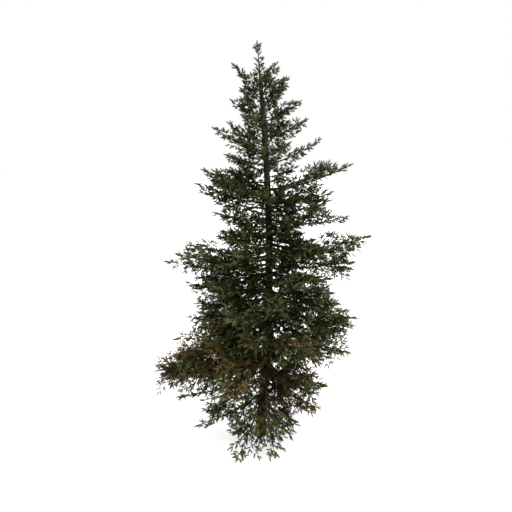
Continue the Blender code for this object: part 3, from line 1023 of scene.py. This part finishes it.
@functools.cache
def shoot_recipe():
    """Needles all round a thin stem, leaning forward more towards its tip, on every point."""
    recipe = Recipe("Needled shoots")
    count = recipe.take("Needles", "Int")
    length = recipe.take("Needle length", "Float")
    width = recipe.take("Needle width", "Float")
    shoot = recipe.take("Shoot length", "Float", SHOOT_LENGTH)
    lean_root = recipe.take("Lean at root", "Float", LEAN_AT_ROOT)
    lean_tip = recipe.take("Lean at tip", "Float", LEAN_AT_TIP)
    flatness = recipe.take("Flatness", "Float", SHOOT_FLATNESS)
    stem_radius = recipe.take("Stem radius", "Float", SHOOT_STEM_RADIUS)
    seed = recipe.take("Seed", "Int", SEED)

    def stray(seed):
        span = {2: -0.5, 3: 0.5, "Seed": seed}
        return recipe.make("FunctionNodeRandomValue", span, output=1, data_type="FLOAT")

    # A circle of three points is a triangle from -1/2 to 1 along X, and the root of 3 wide
    triangle = recipe.make("GeometryNodeMeshCircle", {"Vertices": 3, "Radius": 1.0}, fill_type="NGON")
    raised = recipe.make("ShaderNodeCombineXYZ", {"Z": length / 3.0})
    size = recipe.make("ShaderNodeCombineXYZ", {"X": length / 1.5, "Y": width / math.sqrt(3), "Z": 1.0})
    needle = recipe.make(
        "GeometryNodeTransform",
        {"Geometry": triangle, "Translation": raised, "Rotation": (0.0, -math.pi / 2, 0.0), "Scale": size},
    )

    step = recipe.make("ShaderNodeCombineXYZ", {"Z": shoot * NEEDLED_SHARE / count})
    row = recipe.make(
        "GeometryNodeMeshLine", {"Count": count, "Start Location": (0, 0, FIRST_NEEDLE), "Offset": step}
    )
    index = recipe.make("GeometryNodeInputIndex")
    outward = index / count
    wobble = stray(seed)
    lean = lean_root + (lean_tip - lean_root) * outward**2.0 + wobble * LEAN_STRAY
    turn = recipe.make("ShaderNodeCombineXYZ", {"X": lean, "Z": index * GOLDEN_ANGLE + wobble})
    roll = recipe.make("ShaderNodeCombineXYZ", {"Z": stray(seed + 1)})
    rolled = recipe.make(
        "FunctionNodeRotateRotation",
        {
            "Rotation": recipe.make("FunctionNodeEulerToRotation", {0: turn}),
            "Rotate By": recipe.make("FunctionNodeEulerToRotation", {0: roll}),
        },
        rotation_space="LOCAL",
    )
    shorter = 1.0 - LAST_NEEDLE_SHORTER * outward**3
    needles = recipe.make(
        "GeometryNodeInstanceOnPoints",
        {"Points": row, "Instance": needle, "Rotation": rolled, "Scale": shorter},
    )
    stem = recipe.make(
        "GeometryNodeMeshCone",
        {"Vertices": 3, "Radius Top": 0.0, "Radius Bottom": stem_radius, "Depth": shoot},
        fill_type="NONE",
    )
    both = recipe.make("GeometryNodeJoinGeometry")
    for part in (needles, stem):
        recipe.tree.links.new(part.socket, both.socket.node.inputs[0])

    upright = recipe.make(
        "FunctionNodeAlignRotationToVector", {"Vector": recipe.named("along", "FLOAT_VECTOR")}, axis="Z"
    )
    facing = recipe.make(
        "FunctionNodeAlignRotationToVector",
        {"Rotation": upright, "Vector": recipe.named("facing", "FLOAT_VECTOR")},
        axis="Y",
        pivot_axis="Z",
    )
    stretch = recipe.named("shoot_length") / shoot
    scale = recipe.make("ShaderNodeCombineXYZ", {"X": 1.0, "Y": flatness, "Z": stretch})
    shoots = recipe.make(
        "GeometryNodeInstanceOnPoints",
        {"Points": recipe.geometry, "Instance": both, "Rotation": facing, "Scale": scale},
    )
    recipe.end(shoots)
    return recipe


# --- Materials -----------------------------------------------------------------------------------


def bark_material(name, bark, plate_size, tone=None):
    """Grey-brown scales with dark cracks between them and pale weathered faces."""
    made, nodes = new_material(name)
    place = nodes.make("ShaderNodeTexCoord", output=3)
    tall = nodes.make("ShaderNodeMapping", {"Vector": place, "Scale": BARK_STRETCH})
    warp = nodes.make(
        "ShaderNodeTexNoise", {"Vector": tall, "Scale": 0.5 / plate_size, "Detail": 3.0}, output=1
    )
    bent = nodes.vector("ADD", tall, nodes.scaled(warp, plate_size * 0.9))
    cracks = nodes.make(
        "ShaderNodeTexVoronoi", {"Vector": bent, "Scale": 1 / plate_size}, feature="DISTANCE_TO_EDGE"
    )
    fine = nodes.make(
        "ShaderNodeTexNoise", {"Vector": place, "Scale": 4 / plate_size, "Detail": 4.0, "Roughness": 0.65}
    )
    broad = nodes.make("ShaderNodeTexNoise", {"Vector": tall, "Scale": 0.14 / plate_size, "Detail": 3.0})
    face = nodes.make("ShaderNodeMapRange", {"Value": cracks, "From Min": 0.02, "From Max": 0.20})
    patches = broad * 0.6 + fine * 0.4
    worn = nodes.make("ShaderNodeMapRange", {"Value": patches, "From Min": 0.42, "From Max": 0.62})
    colour = nodes.blend(worn, (*(tone or bark.mid), 1), (*bark.pale, 1))
    colour = nodes.blend(face, (*bark.dark, 1), colour)
    bump = nodes.make("ShaderNodeBump", {"Height": face + fine * 0.35, "Strength": 0.6, "Distance": 0.003})
    roughness = 0.95 - worn * 0.1
    close_material(nodes, Base_Color=colour, Roughness=roughness, Normal=bump, Specular_IOR_Level=0.2)
    return made


def plain_material(name, colour, roughness, gloss=0.15, glow=0.0):
    """A plain base colour. A glow stands for paper that is lit from behind."""
    made, nodes = new_material(name)
    close_material(
        nodes,
        Base_Color=(*colour, 1.0),
        Roughness=roughness,
        Specular_IOR_Level=gloss,
        Emission_Color=(1.0, 1.0, 1.0, 1.0),
        Emission_Strength=glow,
    )
    return made


# --- Pieces --------------------------------------------------------------------------------------


def masses_of(tier):
    """The solids' masses on the boughs that start in a tier."""
    names = [
        f"mass_{whorl:02d}{letter}"
        for whorl, (height, *courses) in enumerate(WHORLS, start=1)
        if tier_of(height) == tier
        for letter, _ in zip("abcde", courses)
    ]
    return names + (["mass_leader"] if tier == LEADER_TIER else [])


def settle(piece, nodes):
    """Rides a piece on the tree's one body, in place of the nodes that it stands for."""
    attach(piece, BODY)
    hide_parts(*nodes)


class SPRUCE_OT_trunk(bpy.types.Operator):
    """The trunk, from its flared foot to the leader, with the relief of its bark"""

    bl_idname = "spruce.trunk"
    bl_label = "Trunk"

    sides = 40
    rings = 330
    crowding = 1.12  # over 1, so the rings stand closer at the foot
    swelling = 4.0  # times the relief, over broad stretches

    def execute(self, context):
        bark = context.scene.spruce_bark
        form = bmesh.new()
        loops = []
        for ring in range(self.rings + 1):
            height = TRUNK_TOP * (ring / self.rings) ** self.crowding
            angles = [math.tau * side / self.sides for side in range(self.sides)]
            corners = [
                form.verts.new(trunk_centre(height) + trunk_radius(height, angle) * out(angle))
                for angle in angles
            ]
            loops.append([form.edges.new((corners[side - 1], corners[side])) for side in range(self.sides)])
        for lower, upper in zip(loops, loops[1:]):
            bmesh.ops.bridge_loops(form, edges=lower + upper)
        bmesh.ops.holes_fill(form, edges=loops[0] + loops[-1])
        bmesh.ops.recalc_face_normals(form, faces=form.faces)
        mesh = bpy.data.meshes.new("trunk_form")
        form.to_mesh(mesh)
        form.free()

        recipe = Recipe("Bark relief")
        relief = recipe.take("Relief", "Float")
        plate = recipe.take("Scale size", "Float")
        place = recipe.make("GeometryNodeInputPosition")
        tall = recipe.vector("MULTIPLY", place, BARK_STRETCH)
        cracks = recipe.make(
            "ShaderNodeTexVoronoi", {"Vector": tall, "Scale": 1.0 / plate}, feature="DISTANCE_TO_EDGE"
        )
        scale = recipe.make("ShaderNodeMapRange", {"Value": cracks, "From Min": 0.0, "From Max": 0.22})
        swell = recipe.make("ShaderNodeTexNoise", {"Vector": place, "Scale": 5.0, "Detail": 3.0})
        push = scale * relief + (swell - 0.5) * relief * self.swelling - relief
        level = recipe.vector("MULTIPLY", recipe.make("GeometryNodeInputNormal"), (1.0, 1.0, 0.0))
        moved = recipe.make(
            "GeometryNodeSetPosition", {"Geometry": recipe.geometry, "Offset": recipe.scaled(level, push)}
        )
        recipe.end(recipe.make("GeometryNodeSetShadeSmooth", {"Geometry": moved}))
        finish = bark_material("trunk_bark", bark, bark.scale_size)
        piece = recipe.run(
            "trunk_with_bark", mesh, relief=bark.relief, scale_size=bark.scale_size, material=finish
        )
        settle(piece, ["trunk"])
        return {"FINISHED"}


class SPRUCE_OT_boughs(bpy.types.Operator):
    """Every bough's own wood, from inside the trunk to near its tip, and the dead twigs"""

    bl_idname = "spruce.boughs"
    bl_label = "Boughs"

    scale_share = 0.5  # of the trunk's scales of bark
    dead_scale_share = 0.25

    def execute(self, context):
        bark = context.scene.spruce_bark
        mesh = lines_mesh("bough_lines", grown_crown().boughs)
        finish = bark_material("bough_bark", bark, bark.scale_size * self.scale_share)
        piece = wood_recipe().run("boughs", mesh, sides=6, relief=0.5, grain=26.0, material=finish)
        limbs = sorted(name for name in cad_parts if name.startswith("limb_"))
        settle(piece, limbs)
        mesh = lines_mesh("dead_twig_lines", grown_crown().dead_twigs)
        finish = bark_material("dead_twig_bark", bark, bark.scale_size * self.dead_scale_share, bark.dead)
        piece = wood_recipe().run("dead_twigs", mesh, sides=4, relief=0.5, grain=60.0, material=finish)
        settle(piece, ["trunk"])
        return {"FINISHED"}


class SPRUCE_OT_twigs(bpy.types.Operator):
    """Side branches and branchlets, one piece for each tier of the crown"""

    bl_idname = "spruce.twigs"
    bl_label = "Twigs"

    def execute(self, context):
        finish = plain_material("twig_bark", context.scene.spruce_bark.twig, roughness=0.8)
        for tier, lines in grown_crown().twigs.items():
            mesh = lines_mesh("twig_lines", lines)
            piece = wood_recipe().run("twigs_" + tier, mesh, sides=3, material=finish)
            settle(piece, masses_of(tier))
        return {"FINISHED"}


class SPRUCE_OT_needles(bpy.types.Operator):
    """Needled shoots, one piece for each tint in each tier of the crown"""

    bl_idname = "spruce.needles"
    bl_label = "Needles"

    def execute(self, context):
        needles = context.scene.spruce_needles
        tints = sorted({*GREEN_TINTS, *FRESH_TINTS, *FADED_TINTS})
        finishes = {
            tint: plain_material("needles_" + tint, getattr(needles, tint), roughness=0.6, gloss=0.18)
            for tint in tints
        }
        for (tier, tint), shoots in sorted(grown_crown().shoots.items()):
            piece = shoot_recipe().run(
                f"needles_{tier}_{tint}",
                shoots_mesh("shoot_roots", shoots),
                needles=needles.count,
                needle_length=needles.length,
                needle_width=needles.width,
                material=finishes[tint],
            )
            settle(piece, masses_of(tier))
        return {"FINISHED"}


class SPRUCE_OT_stage(bpy.types.Operator):
    """A plain pale floor, soft light from all round and above, and the camera"""

    bl_idname = "spruce.stage"
    bl_label = "Stage"

    camera_place = (-0.085, -13.99, 6.84)
    camera_pitch = 78.0  # degrees up from straight down
    sensor = 36.0
    floor_radius = 60.0
    light_spread = math.radians(28)
    light_from_behind = 0.7  # how much brighter the sky is straight behind than above
    light_from_beside = 1.2  # and how much brighter to the left and right
    key_turn = (math.radians(22), math.radians(10))  # from straight down: to the back, to the left
    fill_turn = (math.radians(60), math.radians(15))

    def execute(self, context):
        settings = context.scene.spruce_stage
        form = bmesh.new()
        bmesh.ops.create_circle(form, cap_ends=True, segments=64, radius=self.floor_radius)
        mesh = bpy.data.meshes.new("floor")
        form.to_mesh(mesh)
        form.free()
        floor = add_object("floor", mesh)
        finish = plain_material("floor_paper", settings.floor, roughness=1.0, glow=settings.floor_glow)
        mesh.materials.append(finish)
        # It throws no light back on the tree
        floor.visible_diffuse = False
        floor.visible_glossy = False

        world = bpy.data.worlds.new("soft light")
        context.scene.world = world
        world.use_nodes = True
        nodes = Nodes(world.node_tree)
        heading = nodes.make("ShaderNodeTexCoord")
        beside, behind, above = (
            nodes.make("ShaderNodeSeparateXYZ", {0: heading}, output=axis) for axis in range(3)
        )
        dome = nodes.make("ShaderNodeMapRange", {"Value": above, "From Min": -0.25, "From Max": 0.9})
        around = behind * self.light_from_behind + 1.0 + beside * beside * self.light_from_beside
        strength = (dome * 0.75 + 0.25) * around * settings.sky_strength
        sky = nodes.make("ShaderNodeBackground", {"Color": (1.0, 1.0, 0.97, 1.0), "Strength": strength})
        paper = nodes.make("ShaderNodeBackground", {"Color": (1.0, 1.0, 1.0, 1.0), "Strength": 1.0})
        seen = nodes.make("ShaderNodeLightPath")
        light = nodes.make("ShaderNodeMixShader", {0: seen, 1: sky, 2: paper})
        nodes.make("ShaderNodeOutputWorld", {"Surface": light})

        for name, strength, (pitch, roll) in (
            ("key", settings.key_strength, self.key_turn),
            ("fill", settings.fill_strength, self.fill_turn),
        ):
            light = bpy.data.lights.new(name, "SUN")
            light.energy = strength
            light.angle = self.light_spread
            lamp = add_object(name, light)
            lamp.rotation_euler = (pitch, roll, 0.0)

        camera = bpy.data.cameras.new("camera")
        camera.lens = settings.lens
        camera.sensor_width = self.sensor
        holder = add_object("camera", camera)
        holder.location = self.camera_place
        holder.rotation_euler = (math.radians(self.camera_pitch), 0.0, 0.0)
        context.scene.camera = holder
        context.scene.view_settings.view_transform = "Standard"
        return {"FINISHED"}


class SPRUCE_PT_panel(bpy.types.Panel):
    """Lists the spruce's pieces and settings in the sidebar"""

    bl_idname = "SPRUCE_PT_panel"
    bl_label = "Young spruce"
    bl_space_type = "VIEW_3D"
    bl_region_type = "UI"
    bl_category = "Spruce"

    def draw(self, context):
        for operator in OPERATORS:
            self.layout.operator(operator.bl_idname)
        for group in SETTINGS:
            box = self.layout.box()
            box.label(text=group.removeprefix("spruce_").capitalize())
            settings = getattr(context.scene, group)
            for name in settings.__annotations__:
                box.prop(settings, name)


SETTINGS = {"spruce_bark": SpruceBark, "spruce_needles": SpruceNeedles, "spruce_stage": SpruceStage}
OPERATORS = (SPRUCE_OT_trunk, SPRUCE_OT_boughs, SPRUCE_OT_twigs, SPRUCE_OT_needles, SPRUCE_OT_stage)
CLASSES = (*SETTINGS.values(), *OPERATORS, SPRUCE_PT_panel)


def register():
    for kind in CLASSES:
        bpy.utils.register_class(kind)
    for name, kind in SETTINGS.items():
        setattr(bpy.types.Scene, name, PointerProperty(type=kind))


def unregister():
    for name in SETTINGS:
        delattr(bpy.types.Scene, name)
    for kind in reversed(CLASSES):
        bpy.utils.unregister_class(kind)


def main():
    register()
    bpy.ops.spruce.trunk()
    bpy.ops.spruce.boughs()
    bpy.ops.spruce.twigs()
    bpy.ops.spruce.needles()
    bpy.ops.spruce.stage()


if __name__ == "__main__":
    main()
